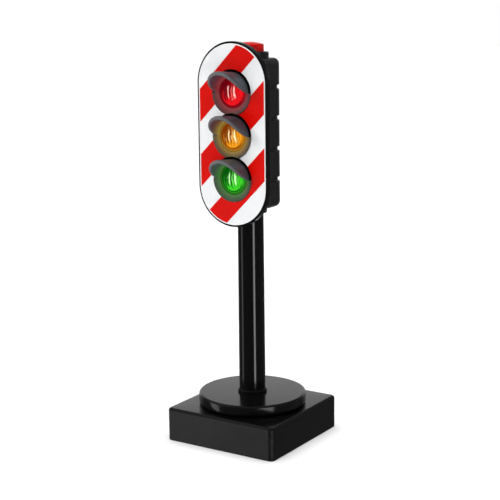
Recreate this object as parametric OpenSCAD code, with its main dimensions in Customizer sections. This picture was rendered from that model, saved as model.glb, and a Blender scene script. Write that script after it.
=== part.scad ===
// A small battery traffic signal on a stand: a square base block, a round
// turntable disc, a mast and a three-light signal head. Millimetres, +Z up.
// The lights face -Y, and the object stands on Z = 0 with the mast on the Z axis.

/* [Base block] */
// Side of the square base block
base_side = 40; // [38:0.5:46]
// Height of the base block
base_h = 10.7; // [10.7:0.1:14]
// Radius of the base block's upright corners
base_corner_r = 1.6; // [0.8:0.1:2.5]
// Radius of the base block's top edge
base_edge_r = 0.9; // [0.4:0.1:1.2]

/* [Turntable and mast] */
// Radius of the turntable disc
disc_r = 17.35; // [14:0.05:18.5]
// Thickness of the turntable disc
disc_h = 3.5; // [3:0.1:4.5]
// Radius of the disc's two edges
disc_edge_r = 0.7; // [0.4:0.1:1]
// Gap between the base block and the disc
disc_gap = 0.25; // [0.2:0.05:0.6]
// Radius of the mast at its foot
mast_foot_r = 4.25; // [3.8:0.05:4.4]
// Radius of the mast where it enters the head
mast_top_r = 4.1; // [3.7:0.05:4.2]

/* [Signal head] */
// Height of the middle light's centre above the ground
light_z = 98.15; // [96:0.05:104]
// Distance between the centres of two lights
light_pitch = 13.3; // [13:0.05:13.6]
// Depth from the mast's axis to the backboard's front face
head_front = 10.1; // [9.9:0.05:10.4]
// Half of the backboard's width
board_half_w = 12.7; // [12:0.1:14]
// Half of the backboard's height
board_half_h = 28.5; // [28:0.1:30]
// Width of the backboard's rim round the sheet
board_rim = 0.65; // [0.4:0.05:1]
// Thickness of the backboard
board_t = 2; // [1.9:0.05:2.2]
// Spacing of the stripes' edges, measured square to the stripes
stripe_w = 7.15; // [6.5:0.05:8]
// Height of the highest stripe edge above the backboard's centre, at mid width
stripe_top = 25.5; // [24:0.1:27]

/* [Lights] */
// Outer radius of a light's ring
ring_r = 7.05; // [6.9:0.05:7.2]
// Outer radius of a visor
visor_r = 6.27; // [6.1:0.01:6.4]
// Wall of a visor
visor_wall = 1.2; // [0.9:0.1:1.2]
// Radius of the lens that shows
lens_r = 4.85; // [4.6:0.05:4.9]
// Upward tilt of the visors, in degrees
visor_tilt = 4; // [0:0.5:6]

/* [Housing] */
// Half of the rear housing's width
house_half_w = 8; // [7.8:0.1:8.4]
// Half of the rear housing's height
house_half_h = 23.3; // [23.2:0.1:23.5]
// Radius of the housing's two rear uprights
house_corner_r = 4.4; // [4.2:0.1:5.6]
// Radius of the housing's top and bottom edges
house_edge_r = 1.9; // [1:0.1:2]
// Wall of the housing
house_wall = 1.3; // [1.2:0.05:1.4]
// Depth of the grooves round the housing
groove_d = 0.65; // [0.3:0.05:0.7]
// Height of each groove
groove_h = 1.5; // [1:0.1:1.8]
// Distance between two grooves
groove_pitch = 9.6; // [9.4:0.1:9.8]

/* [Button and battery door] */
// Radius of the push button
button_r = 4.65; // [4:0.05:4.7]
// Travel of the push button
button_travel = 1.5; // [0.5:0.1:1.5]
// Half of the battery door's width
door_half_w = 4.6; // [4.4:0.1:4.8]

/* [Hidden] */
$fn = 96;
hull_fn = 36;
eps = 0.01;
running = 0.05;                        // radial clearance of a running fit
slip = 0.02;                           // clearance of a snug fit inside one body

// Base
base_wall = 1.8;
base_top_t = 2;
screw_xy = 14.8;                       // cover screws, from the middle
hub_r = 4;                             // the disc's pivot hub
hub_bottom = 6.6;
washer_t = 0.6;
pad_t = 0.6;
cover_t = 1.6;
cover_half = base_side / 2 - base_wall - 0.1;
cover_z = pad_t;
ballast_h = 3;
disc_z = base_h + disc_gap;
disc_top = disc_z + disc_h;

// Mast
tenon_r = 3;
tenon_z = 8.2;
mast_bore_r = 2.4;
mast_end = 77.2;
mast_collar_r = 4.75;
mast_collar_h = 1.1;
pivot_screw_r = 1.1;

// Head
board_z = light_z + 0.25;
sheet_t = 0.1;
film_t = 0.06;
bezel_proud = 0.25;
pocket_d = 1.1;                        // bezel pocket in the backboard
board_front = -head_front + sheet_t + film_t;
board_back = board_front + board_t;
bezel_front = board_front - sheet_t - film_t - bezel_proud;
bezel_back = board_front + pocket_d - slip;
groove_floor = bezel_back - 0.4;       // floor of the grooves that hold the visors
lens_flange_r = 5.6;
lens_flange_t = 0.8;
spigot_d = 2;
spigot_back = board_back + spigot_d;
lights = [1, 0, -1];
function light_at(n) = light_z + n * light_pitch;

// Visor's oblique cut: a round cut about an axis along X
cut_r = 12.8;
cut_back = 3.8;
cut_up = 12.2;

// Housing
house_top = light_z + house_half_h;
house_bottom = light_z - house_half_h;
house_back = house_half_w;
inner_half_w = house_half_w - house_wall;
inner_back = house_back - house_wall;
inner_top = house_top - house_wall;
inner_bottom = house_bottom + house_wall;
socket_r = 5.25;
socket_h = 1.7;
collar_r = 6.2;
collar_h = 1.95;
collar_top = house_top + collar_h;
groove_at = [-1.5, -0.5, 0.5, 1.5];

// Circuit board, lamps and switch
pcb_front = -3;
pcb_t = 0.8;
pcb_back = pcb_front + pcb_t;
pcb_half_w = 6.3;
pcb_low = 78.2;
pcb_high = 116.8;
post_z = [80.2, 105.3];
post_r = 1.6;
post_back = 3.8;
house_screw_r = 0.6;
led_r = 1.5;
led_flange_r = 1.9;
led_len = 5.3;
led_pin_x = 0.64;
led_pin_r = 0.22;
switch_z = 108.5;
switch_h = 6;
switch_top = switch_z + switch_h;
plunger_top = 116.9;

// Push button
flange_r = 5.2;
flange_t = 1;
flange_top = inner_top - 0.1;
stem_r = 1.25;
button_side_top = 125.25;
button_edge_r = 0.55;
button_dome = 0.6;
spring_r = 1.75;
spring_wire = 0.2;
spring_turns = 5;

// Battery bay and door
cell_r = 3.95;
cell_h = 3.6;
cells = 3;
cell_y = 2.45;
cell_z = 89;
holder_low = 87.4;
holder_high = 101.8;
contact_t = 0.3;
door_low = 83;
door_hinge_y = 7.3;
door_hinge_z = 101.3;
door_knuckle_r = 0.8;
door_knuckle_half = 3;
door_pin_r = 0.35;
door_pin_half = 3.9;
door_gap = 0.15;
door_swing_r = 1.15;                   // the door's clear radius beside the hinge lugs
lug_r = 0.95;
door_screw_z = 85;
door_screw_r = 0.8;
door_screw_head_r = 1.5;

// ---- Shared shapes ----------------------------------------------------------

// Extrudes a flat XZ drawing from y_front back to y_back.
module facing(y_front, y_back) {
    translate([0, y_back, 0]) rotate([90, 0, 0]) linear_extrude(y_back - y_front) children();
}

// A round bar or hole along Y, from y_front back to y_back.
module rod_y(y_front, y_back, r, z = 0, x = 0, r_front = -1) {
    translate([x, y_back, z]) rotate([90, 0, 0])
        cylinder(h = y_back - y_front, r1 = r, r2 = r_front < 0 ? r : r_front);
}

// An upright round bar or hole.
module rod_z(z_low, z_high, r, x = 0, y = 0) {
    translate([x, y, z_low]) cylinder(h = z_high - z_low, r = r);
}

// A flat upright stadium drawn about the backboard's centre.
module stadium(half_w, half_h) {
    translate([0, board_z]) {
        for (s = [-1, 1]) translate([0, s * (half_h - half_w)]) circle(r = half_w);
        square([2 * half_w, 2 * (half_h - half_w)], center = true);
    }
}

// The three merged discs that the lights fill.
module light_discs(r) {
    for (n = lights) translate([0, light_at(n)]) circle(r = r);
}

// Places a child at each of the four cover screws.
module at_cover_screws() {
    for (x = [-1, 1], y = [-1, 1]) translate([x * screw_xy, y * screw_xy, 0]) children();
}

// A square plate with round uprights, centred on the Z axis.
module square_plate(half, corner_r, z_low, z_high) {
    translate([0, 0, z_low]) linear_extrude(z_high - z_low) {
        square([2 * half, 2 * (half - corner_r)], center = true);
        square([2 * (half - corner_r), 2 * half], center = true);
        for (x = [-1, 1], y = [-1, 1])
            translate([x, y] * (half - corner_r)) circle(r = corner_r);
    }
}

// ---- Base -------------------------------------------------------------------

module base_shell() {
    color([0.04, 0.04, 0.045]) difference() {
        union() {
            difference() {
                base_block();
                square_plate(base_side / 2 - base_wall, 0.6, -eps, base_h - base_top_t);
            }
            at_cover_screws() rod_z(cover_z + cover_t, base_h - base_top_t + eps, 2.6);
            rod_z(hub_bottom + 0.1, base_h - base_top_t + eps, hub_r + 2.4);
        }
        rod_z(-eps, base_h + eps, hub_r + running);
        at_cover_screws() rod_z(-eps, 7.6, 0.8);
    }
}

module base_block() {
    half = base_side / 2 - base_corner_r;
    hull() for (x = [-1, 1], y = [-1, 1]) translate([x * half, y * half, 0]) {
        cylinder(h = base_h - base_edge_r, r = base_corner_r, $fn = hull_fn);
        translate([0, 0, base_h - base_edge_r]) rotate_extrude($fn = hull_fn)
            translate([base_corner_r - base_edge_r, 0]) intersection() {
                circle(r = base_edge_r, $fn = hull_fn);
                square(base_edge_r);
            }
    }
}

module base_cover() {
    color([0.06, 0.06, 0.065]) difference() {
        square_plate(cover_half, 0.6, cover_z, cover_z + cover_t);
        at_cover_screws() {
            rod_z(cover_z - eps, cover_z + cover_t + eps, 1);
            rod_z(cover_z - eps, cover_z + 1.02, 2);
        }
    }
}

module foot_pad() {
    color([0.1, 0.1, 0.1]) square_plate(base_side / 2 - 2.2, 1.5, 0, pad_t);
}

// A steel cross that fills the block between the corner screws.
module ballast_weight() {
    arm = 2 * (base_side / 2 - base_wall - 0.6);
    waist = 2 * (screw_xy - 3.2);
    color([0.5, 0.5, 0.52]) difference() {
        translate([0, 0, cover_z + cover_t]) linear_extrude(ballast_h) {
            square([arm, waist], center = true);
            square([waist, arm], center = true);
        }
        rod_z(0, base_h, 7.2);
    }
}

module base_cover_screws() {
    color([0.6, 0.6, 0.62]) at_cover_screws() difference() {
        union() {
            rod_z(cover_z + 0.02, cover_z + 1, 1.9);
            rod_z(cover_z + 1 - eps, 7.2, 0.8);
        }
        cross_recess(cover_z + 0.02, 0.6);
    }
}

// A cross recess cut upward into a screw head whose face is at z.
module cross_recess(z, depth, length = 1.9, width = 0.45) {
    for (a = [0, 90]) rotate([0, 0, a])
        translate([-length / 2, -width / 2, z - eps]) cube([length, width, depth + eps]);
}

module thrust_washer() {
    color([0.85, 0.85, 0.82]) difference() {
        rod_z(base_h, disc_z, 8);
        rod_z(base_h - eps, disc_z + eps, hub_r + 0.3);
    }
}

// ---- Turntable and mast -----------------------------------------------------

module turntable_disc() {
    color([0.04, 0.04, 0.045]) difference() {
        union() {
            rotate_extrude() {
                translate([0, disc_z]) square([disc_r - disc_edge_r, disc_h]);
                translate([0, disc_z + disc_edge_r]) square([disc_r, disc_h - 2 * disc_edge_r]);
                for (z = [disc_z + disc_edge_r, disc_top - disc_edge_r])
                    translate([disc_r - disc_edge_r, z]) circle(r = disc_edge_r);
            }
            rod_z(hub_bottom, disc_z + eps, hub_r);
        }
        rod_z(tenon_z - slip, disc_top + eps, tenon_r + slip);
        rod_z(hub_bottom - eps, disc_top, pivot_screw_r + 0.1);
    }
}

module retaining_washer() {
    color([0.7, 0.7, 0.72]) difference() {
        rod_z(hub_bottom - washer_t, hub_bottom, hub_r + 1.8);
        rod_z(0, hub_bottom + eps, pivot_screw_r + 0.1);
    }
}

module pivot_screw() {
    head_low = hub_bottom - washer_t - 1.3;
    color([0.6, 0.6, 0.62]) difference() {
        union() {
            rod_z(head_low, hub_bottom - washer_t, 2.2);
            rod_z(head_low + eps, 15.6, pivot_screw_r);
        }
        cross_recess(head_low, 0.8, 2.6, 0.5);
    }
}

module mast() {
    color([0.035, 0.035, 0.04]) difference() {
        union() {
            rod_z(tenon_z, disc_top + eps, tenon_r);
            translate([0, 0, disc_top])
                cylinder(h = house_bottom - socket_h - disc_top - 0.5, r1 = mast_foot_r, r2 = mast_top_r);
            rod_z(house_bottom - socket_h - 0.5 - eps, mast_end, mast_top_r);
        }
        rod_z(tenon_z - eps, 16, pivot_screw_r);
        rod_z(18, mast_end + eps, mast_bore_r);
    }
}

module mast_collar() {
    color([0.04, 0.04, 0.045]) difference() {
        rod_z(disc_top, disc_top + mast_collar_h, mast_collar_r);
        rod_z(disc_top - eps, disc_top + mast_collar_h + eps, mast_foot_r + slip);
    }
}

// ---- Housing and backboard --------------------------------------------------

// The housing's outer form: round rear uprights, square against the backboard.
module housing_form() {
    e = house_edge_r;
    hull() {
        for (s = [-1, 1]) {
            translate([s * (house_half_w - house_corner_r), house_back - house_corner_r, 0])
                for (z = [house_bottom + e, house_top - e]) translate([0, 0, z])
                    rotate_extrude($fn = hull_fn) translate([house_corner_r - e, 0])
                        intersection() {
                            circle(r = e, $fn = hull_fn);
                            translate([0, -e]) square([e, 2 * e]);
                        }
            for (z = [house_bottom + e, house_top - e]) translate([s * (house_half_w - e), 0, z])
                rotate([90, 0, 0]) translate([0, 0, -board_back - 0.2])
                    cylinder(h = 0.2, r = e, $fn = hull_fn);
        }
    }
}

// Plan of the housing, drawn in XY, drawn in by inset.
module housing_plan(inset) {
    r = house_corner_r - inset;
    half = house_half_w - inset;
    translate([-half, board_back - eps])
        square([2 * half, house_back - house_corner_r - board_back + eps]);
    for (s = [-1, 1])
        translate([s * (half - r), house_back - house_corner_r]) circle(r = r);
    translate([-(half - r), 0]) square([2 * (half - r), house_back - inset]);
}

module housing_inside() {
    translate([0, 0, inner_bottom])
        linear_extrude(inner_top - inner_bottom) housing_plan(house_wall);
}

module housing_grooves() {
    difference() {
        for (n = groove_at) translate([-20, board_back + 1.5, light_z + n * groove_pitch - groove_h / 2])
            cube([40, 40, groove_h]);
        translate([0, 0, house_bottom]) linear_extrude(2 * house_half_h) housing_plan(groove_d);
    }
}

// The part of the rear wall that the battery door fills, grown by gap.
module door_region(gap, clear_r) {
    difference() {
        translate([-door_half_w - gap, 4, door_low - gap])
            cube([2 * (door_half_w + gap), 10, door_hinge_z - door_low + gap]);
        for (s = [-1, 1]) translate([s * (door_knuckle_half + 0.05 + 5), door_hinge_y, door_hinge_z])
            rotate([0, 90, 0]) cylinder(h = 10 - 2 * gap, r = clear_r, center = true);
    }
}

// A bar or hole along X on the battery door's hinge axis.
module hinge_bar(half, r) {
    translate([-half, door_hinge_y, door_hinge_z]) rotate([0, 90, 0]) cylinder(h = 2 * half, r = r);
}

module rear_housing() {
    color([0.05, 0.05, 0.055]) difference() {
        union() {
            difference() {
                housing_form();
                housing_inside();
                housing_grooves();
                door_region(door_gap, lug_r);
                hinge_bar(door_knuckle_half + door_gap, door_knuckle_r + 0.12);
            }
            rod_z(house_bottom - socket_h, mast_end, socket_r);
            rod_z(house_top - house_wall, collar_top, collar_r);
            for (z = post_z) rod_y(post_back + 0.05, inner_back + eps, 2.3, z);
            screw_bridge();
        }
        rod_z(house_bottom - socket_h - eps, mast_end + 1, mast_top_r + slip);
        rod_z(inner_top - eps, collar_top + eps, button_r + running);
        for (z = post_z) {
            rod_y(0, house_back + eps, house_screw_r + 0.15, z);
            rod_y(house_back - 1.5, house_back + eps, 1.55, z);
        }
        rod_y(0, house_back + eps, door_screw_r + 0.3, door_screw_z);
        rod_y(inner_back - 0.1, house_back + eps, 2.3, door_screw_z);
        hinge_bar(door_pin_half + 0.1, door_pin_r + running);
    }
}

// A web across the housing, behind the door's foot, with the door screw's boss.
module screw_bridge() {
    web_front = inner_back - 2.8;
    translate([-inner_half_w, web_front, door_screw_z - 1.8]) cube([2 * inner_half_w, 1.2, 3.6]);
    rod_y(web_front, inner_back - 0.5, 1.8, door_screw_z);
}

module front_plate() {
    color([0.04, 0.04, 0.045]) difference() {
        union() {
            facing(board_front, board_back) stadium(board_half_w, board_half_h);
            facing(board_back - eps, spigot_back) translate([0, light_z])
                square([2 * inner_half_w - 0.2, 2 * (house_half_h - house_wall) - 0.2], center = true);
            for (z = post_z) rod_y(spigot_back - eps, post_back, post_r, z);
        }
        facing(board_front - eps, board_front + pocket_d) light_discs(ring_r);
        for (n = lights) {
            rod_y(board_front, board_front + pocket_d + lens_flange_t + 0.02, lens_flange_r + slip,
                light_at(n));
            rod_y(board_front, spigot_back + eps, led_flange_r + 0.1, light_at(n));
        }
        for (z = post_z) rod_y(-2, post_back + eps, house_screw_r, z);
    }
}

module housing_screws() {
    color([0.6, 0.6, 0.62]) for (z = post_z) difference() {
        union() {
            rod_y(house_back - 1.48, house_back - 0.5, 1.4, z);
            rod_y(-0.8, house_back - 1.4, house_screw_r, z);
        }
        translate([0, house_back - 0.5, z]) rotate([90, 0, 0]) cross_recess(0, 0.5, 1.5, 0.35);
    }
}

// ---- Sheet and stripes ------------------------------------------------------

module white_sheet() {
    color([0.93, 0.93, 0.93]) facing(board_front - sheet_t, board_front) difference() {
        stadium(board_half_w - board_rim, board_half_h - board_rim);
        light_discs(ring_r + slip);
    }
}

module red_stripes() {
    y_back = board_front - sheet_t;
    color([0.78, 0.05, 0.03]) facing(y_back - film_t, y_back) difference() {
        intersection() {
            stadium(board_half_w - board_rim - 0.35, board_half_h - board_rim - 0.35);
            for (n = [0 : 2]) translate([0, board_z + stripe_top]) rotate(45)
                translate([-60, -(2 * n + 1) * stripe_w]) square([120, stripe_w]);
        }
        light_discs(ring_r + slip);
    }
}

// ---- Lights -----------------------------------------------------------------

module lamp_bezel() {
    color([0.11, 0.11, 0.12]) difference() {
        facing(bezel_front, bezel_back) light_discs(ring_r - slip);
        for (n = lights) {
            rod_y(bezel_front - eps, bezel_back + eps, lens_r + running, light_at(n));
            rod_y(bezel_front - eps, bezel_front + 0.85, lens_r + 0.1, light_at(n),
                r_front = ring_r - 0.4);
            facing(bezel_front - eps, groove_floor) translate([0, light_at(n)]) intersection() {
                difference() {
                    circle(r = ring_r);
                    circle(r = visor_r - visor_wall - slip);
                }
                translate([-10, 0]) square([20, 10]);
            }
        }
    }
}

// A visor over light n: the upper half of a tube, cut off obliquely at its mouth.
module visor(n) {
    z = light_at(n);
    y0 = groove_floor;
    intersection() {
        difference() {
            union() {
                rod_y(-head_front - 0.2, y0 - slip, visor_r, z);
                translate([0, y0 - 1, z]) rotate([-visor_tilt, 0, 0])
                    rod_y(-10, 0, visor_r);
            }
            rod_y(-head_front - 0.3, y0 + 1, visor_r - visor_wall, z);
            translate([0, y0 - 1, z]) rotate([-visor_tilt, 0, 0])
                rod_y(-12, 1, visor_r - visor_wall);
        }
        translate([-10, -head_front + cut_back, z + cut_up]) rotate([0, 90, 0])
            cylinder(h = 20, r = cut_r);
        translate([-10, -30, z]) cube([20, 30, 10]);
    }
}

module red_visor() { color([0.13, 0.14, 0.15]) visor(1); }
module amber_visor() { color([0.13, 0.14, 0.15]) visor(0); }
module green_visor() { color([0.13, 0.14, 0.15]) visor(-1); }

// A lens: a flange behind the bezel, a short barrel and a shallow dome, hollow behind.
module lens(n) {
    flange_front = bezel_back + slip;
    rim = -head_front + 0.75;
    dome_h = 0.9;
    dome_r = (lens_r * lens_r + dome_h * dome_h) / (2 * dome_h);
    difference() {
        union() {
            rod_y(flange_front, flange_front + lens_flange_t - slip, lens_flange_r, light_at(n));
            intersection() {
                rod_y(rim - dome_h - eps, flange_front + eps, lens_r, light_at(n));
                translate([0, rim - dome_h + dome_r, light_at(n)]) sphere(r = dome_r);
            }
        }
        rod_y(rim + 0.5, 0, 3.9, light_at(n));
    }
}

module red_lens() { color([0.9, 0.05, 0.05]) lens(1); }
module amber_lens() { color([1, 0.55, 0.05]) lens(0); }
module green_lens() { color([0.1, 0.8, 0.1]) lens(-1); }

// A lamp on the circuit board: a flange, a round body with a domed tip and two pins.
module led(n) {
    z = light_at(n);
    rod_y(pcb_front - 0.9, pcb_front, led_flange_r, z);
    rod_y(pcb_front - led_len + led_r, pcb_front, led_r, z);
    translate([0, pcb_front - led_len + led_r, z]) sphere(r = led_r);
    for (s = [-1, 1]) rod_y(pcb_front - eps, pcb_back - 0.05, led_pin_r, z, s * led_pin_x);
}

module red_led() { color([0.9, 0.3, 0.3]) led(1); }
module amber_led() { color([0.95, 0.7, 0.3]) led(0); }
module green_led() { color([0.4, 0.9, 0.4]) led(-1); }

// ---- Electronics ------------------------------------------------------------

module circuit_board() {
    color([0.05, 0.3, 0.12]) difference() {
        translate([-pcb_half_w, pcb_front, pcb_low])
            cube([2 * pcb_half_w, pcb_t, pcb_high - pcb_low]);
        for (z = post_z) rod_y(pcb_front - 1, pcb_back + 1, post_r + 0.1, z);
        for (n = lights, s = [-1, 1])
            rod_y(pcb_front - 1, pcb_back + 1, led_pin_r + 0.03, light_at(n), s * led_pin_x);
    }
}

module control_chip() {
    chip_z = 89.5;
    color([0.03, 0.03, 0.03]) intersection() {
        rod_y(pcb_front - 1, pcb_front, 2.3, chip_z);
        translate([0, pcb_front + 2.15, chip_z]) sphere(r = 3.15);
    }
}

module resistors() {
    color([0.1, 0.1, 0.12]) for (n = [0 : 2])
        translate([3.4, pcb_front - 0.5, 88 + n * 2]) cube([2, 0.5, 1.2]);
}

module push_switch() {
    color([0.12, 0.12, 0.13]) difference() {
        translate([-3, pcb_back, switch_z]) cube([6, -2 * pcb_back, switch_h]);
        rod_z(switch_z + 2.4, switch_top + eps, 1 + running);
    }
}

module switch_plunger() {
    color([0.85, 0.85, 0.8]) rod_z(switch_top - 1.9, plunger_top, 1);
}

module push_button() {
    dome_r = (pow(button_r - button_edge_r, 2) + pow(button_dome, 2)) / (2 * button_dome);
    color([0.75, 0.05, 0.05]) {
        rod_z(flange_top - flange_t, flange_top, flange_r);
        rod_z(plunger_top, flange_top, stem_r);
        rod_z(flange_top - eps, button_side_top, button_r);
        rotate_extrude() translate([button_r - button_edge_r, button_side_top]) circle(r = button_edge_r);
        rod_z(button_side_top - eps, button_side_top + button_edge_r, button_r - button_edge_r);
        intersection() {
            rod_z(button_side_top, button_side_top + 4, button_r - button_edge_r);
            translate([0, 0, button_side_top + button_edge_r + button_dome - dome_r]) sphere(r = dome_r);
        }
    }
}

// The return spring: a round wire wound up the stem between the switch and the flange.
module button_spring() {
    low = switch_top + spring_wire;
    rise = flange_top - flange_t - spring_wire - low;
    per_turn = 16;
    around = 8;
    steps = per_turn * spring_turns;
    function wire_point(i, k) =
        let (a = 360 * i / per_turn, b = 360 * k / around, r = spring_r + spring_wire * cos(b))
        [r * cos(a), r * sin(a), low + rise * i / steps + spring_wire * sin(b)];
    points = [for (i = [0 : steps], k = [0 : around - 1]) wire_point(i, k)];
    sides = [for (i = [0 : steps - 1], k = [0 : around - 1])
        let (a = i * around + k, b = i * around + (k + 1) % around)
        [a, a + around, b + around, b]];
    ends = [[for (k = [0 : around - 1]) k],
        [for (k = [around - 1 : -1 : 0]) steps * around + k]];
    color([0.75, 0.75, 0.77]) polyhedron(points, concat(sides, ends));
}

// ---- Battery bay ------------------------------------------------------------

module battery_holder() {
    color([0.08, 0.08, 0.09]) difference() {
        translate([-5.3, pcb_back + 0.2, holder_low])
            cube([10.6, 5.4, holder_high - holder_low]);
        rod_z(holder_low + 1, holder_high - 1, cell_r + 0.1, 0, cell_y);
        translate([-cell_r - 0.1, cell_y, holder_low + 1])
            cube([2 * cell_r + 0.2, 10, holder_high - holder_low - 2]);
    }
}

module battery_cells() {
    color([0.75, 0.75, 0.77]) for (n = [0 : cells - 1]) {
        z = cell_z + n * cell_h;
        rod_z(z, z + cell_h - 0.25, cell_r, 0, cell_y);
        rod_z(z + cell_h - 0.26, z + cell_h - 0.02, cell_r - 0.9, 0, cell_y);
    }
}

// A sprung metal strip at one end of the cells, with a tail to the circuit board.
module contact(z_low, z_high) {
    translate([-2, 0.2, z_low]) cube([4, 5, contact_t]);
    translate([-2, 0.2, z_high - contact_t]) cube([4, 5, contact_t]);
    translate([-2, 0.2, z_low]) cube([4, contact_t, z_high - z_low]);
}

module upper_contact() {
    color([0.75, 0.72, 0.6]) contact(cell_z + cells * cell_h, holder_high - 1);
}

module lower_contact() {
    color([0.75, 0.72, 0.6]) contact(holder_low + 1, cell_z);
}

module battery_door() {
    color([0.05, 0.05, 0.055]) difference() {
        union() {
            intersection() {
                difference() {
                    housing_form();
                    housing_inside();
                    housing_grooves();
                }
                door_region(0, door_swing_r);
            }
            hinge_bar(door_knuckle_half, door_knuckle_r);
            hinge_bar(door_pin_half, door_pin_r);
        }
        rod_y(0, house_back + eps, door_screw_r + slip, door_screw_z);
        rod_y(house_back - 0.8, house_back + eps, door_screw_head_r + slip, door_screw_z);
    }
}

module door_screw() {
    color([0.6, 0.6, 0.62]) difference() {
        union() {
            rod_y(house_back - 0.8, house_back - 0.1, door_screw_head_r, door_screw_z);
            rod_y(inner_back - 1.6, house_back - 0.7, door_screw_r, door_screw_z);
        }
        translate([0, house_back - 0.1, door_screw_z]) rotate([90, 0, 0])
            cross_recess(0, 0.4, 1.7, 0.35);
    }
}

// ---- Nodes ------------------------------------------------------------------

base_shell();
base_cover();
foot_pad();
ballast_weight();
base_cover_screws();
thrust_washer();
turntable_disc();
pivot_screw();
retaining_washer();
mast();
mast_collar();
rear_housing();
front_plate();
housing_screws();
white_sheet();
red_stripes();
lamp_bezel();
red_visor();
amber_visor();
green_visor();
red_lens();
amber_lens();
green_lens();
red_led();
amber_led();
green_led();
circuit_board();
control_chip();
resistors();
push_switch();
switch_plunger();
push_button();
button_spring();
battery_holder();
battery_cells();
upper_contact();
lower_contact();
battery_door();
door_screw();
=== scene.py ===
"""Looks of a small battery traffic signal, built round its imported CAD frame."""

import math

import bmesh
import bpy
from mathutils import Matrix, Vector


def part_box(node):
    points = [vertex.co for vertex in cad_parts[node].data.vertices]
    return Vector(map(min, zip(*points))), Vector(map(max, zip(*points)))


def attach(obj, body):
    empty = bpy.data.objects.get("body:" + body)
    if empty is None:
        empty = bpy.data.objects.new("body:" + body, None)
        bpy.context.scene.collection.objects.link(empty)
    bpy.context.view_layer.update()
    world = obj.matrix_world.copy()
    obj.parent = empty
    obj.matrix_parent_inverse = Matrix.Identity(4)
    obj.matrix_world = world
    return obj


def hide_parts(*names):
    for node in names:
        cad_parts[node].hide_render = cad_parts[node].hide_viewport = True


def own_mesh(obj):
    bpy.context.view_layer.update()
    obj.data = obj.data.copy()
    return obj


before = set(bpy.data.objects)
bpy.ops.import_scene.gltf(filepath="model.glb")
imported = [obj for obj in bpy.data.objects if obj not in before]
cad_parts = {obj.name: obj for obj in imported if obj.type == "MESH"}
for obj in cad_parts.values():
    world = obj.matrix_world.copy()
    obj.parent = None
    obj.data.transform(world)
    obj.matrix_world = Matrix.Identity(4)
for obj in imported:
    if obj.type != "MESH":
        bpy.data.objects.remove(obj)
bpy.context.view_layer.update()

MM = 0.001


# ---- Sizes, in millimetres, from the frame ----


def box_mm(node):
    """The lowest and highest corner of a CAD node, in millimetres."""
    low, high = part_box(node)
    return low / MM, high / MM


def centre_mm(node):
    low, high = box_mm(node)
    return (low + high) / 2


block_high = box_mm("base_shell")[1]
BLOCK_HALF = block_high.x
BLOCK_TOP = block_high.z
BLOCK_CORNER_R = 1.6
BLOCK_EDGE_R = 0.9
BLOCK_WALL = 1.8
BLOCK_CEILING = BLOCK_TOP - 2.0
COVER_SCREW_XY = 14.8
BOSS_FOOT = box_mm("ballast_weight")[0].z

disc_low, disc_high = box_mm("turntable_disc")
DISC_R = disc_high.x
DISC_TOP = disc_high.z
DISC_UNDER = box_mm("thrust_washer")[1].z
DISC_EDGE_R = 0.7
HUB_R = 4.0
HUB_FOOT = disc_low.z

mast_low, mast_high = box_mm("mast")
MAST_FOOT_R = mast_high.x
MAST_TOP_R = 4.1
MAST_BORE_R = 2.4
MAST_BORE_FOOT = 18.0
TENON_R = 3.0
PIVOT_R = 1.1
COLLAR_TOP = box_mm("mast_collar")[1].z
COLLAR_R = box_mm("mast_collar")[1].x

board_low, board_high = box_mm("front_plate")
BOARD_FRONT = board_low.y
BOARD_HALF_W = board_high.x
BOARD_Z = (board_low.z + board_high.z) / 2
BOARD_HALF_H = (board_high.z - board_low.z) / 2
BOARD_T = 2.0
BOARD_BACK = BOARD_FRONT + BOARD_T
BOARD_EDGE_R = 0.22
SHEET_FRONT = box_mm("red_stripes")[0].y

LIGHT_Z = {name: centre_mm(name + "_lens").z for name in ("red", "amber", "green")}
bezel_low, bezel_high = box_mm("lamp_bezel")
BEZEL_R = bezel_high.x
BEZEL_FRONT = bezel_low.y
BEZEL_BACK = bezel_high.y
BEZEL_FLOOR = BEZEL_BACK - 0.4
POCKET_R = BEZEL_R + 0.02
LENS_R = 4.85
LENS_FLANGE_R = 5.6
LENS_BORE_R = 3.9
LENS_RIM = BEZEL_FRONT + 1.0
LENS_FRONT = box_mm("red_lens")[0].y
VISOR_R = box_mm("red_visor")[1].x
VISOR_WALL = 1.2
VISOR_TILT = math.radians(4)

house_low, house_high = box_mm("rear_housing")
HOUSE_HALF_W = house_high.x
HOUSE_BACK = HOUSE_HALF_W
HOUSE_MID = LIGHT_Z["amber"]
HOUSE_HALF_H = 23.3
HOUSE_TOP = HOUSE_MID + HOUSE_HALF_H
HOUSE_FOOT = HOUSE_MID - HOUSE_HALF_H
HOUSE_CORNER_R = 4.4
HOUSE_EDGE_R = 1.9
HOUSE_WALL = 1.3
GROOVE_DEPTH = 0.65
GROOVE_HALF_H = 0.75
GROOVE_LIP_R = 0.22
GROOVE_PITCH = 9.6
RUNNING = 0.05  # radial clearance of a running fit
SLIP = 0.02  # clearance of a snug fit
SOCKET_R = 5.25
SOCKET_FOOT = house_low.z
BUTTON_COLLAR_R = 6.2
BUTTON_COLLAR_TOP = house_high.z
BUTTON_R = 4.65
BUTTON_FLANGE_R = 5.2
BUTTON_DOME = 0.6
BUTTON_STEM_R = 1.25
SPRING_WIRE_R = 0.2
SPRING_TURNS = 5
POST_Z = (80.2, 105.3)
POST_R = 1.6
SCREW_R = 0.6
BOSS_R = 2.3
INNER_BACK = HOUSE_BACK - HOUSE_WALL

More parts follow.
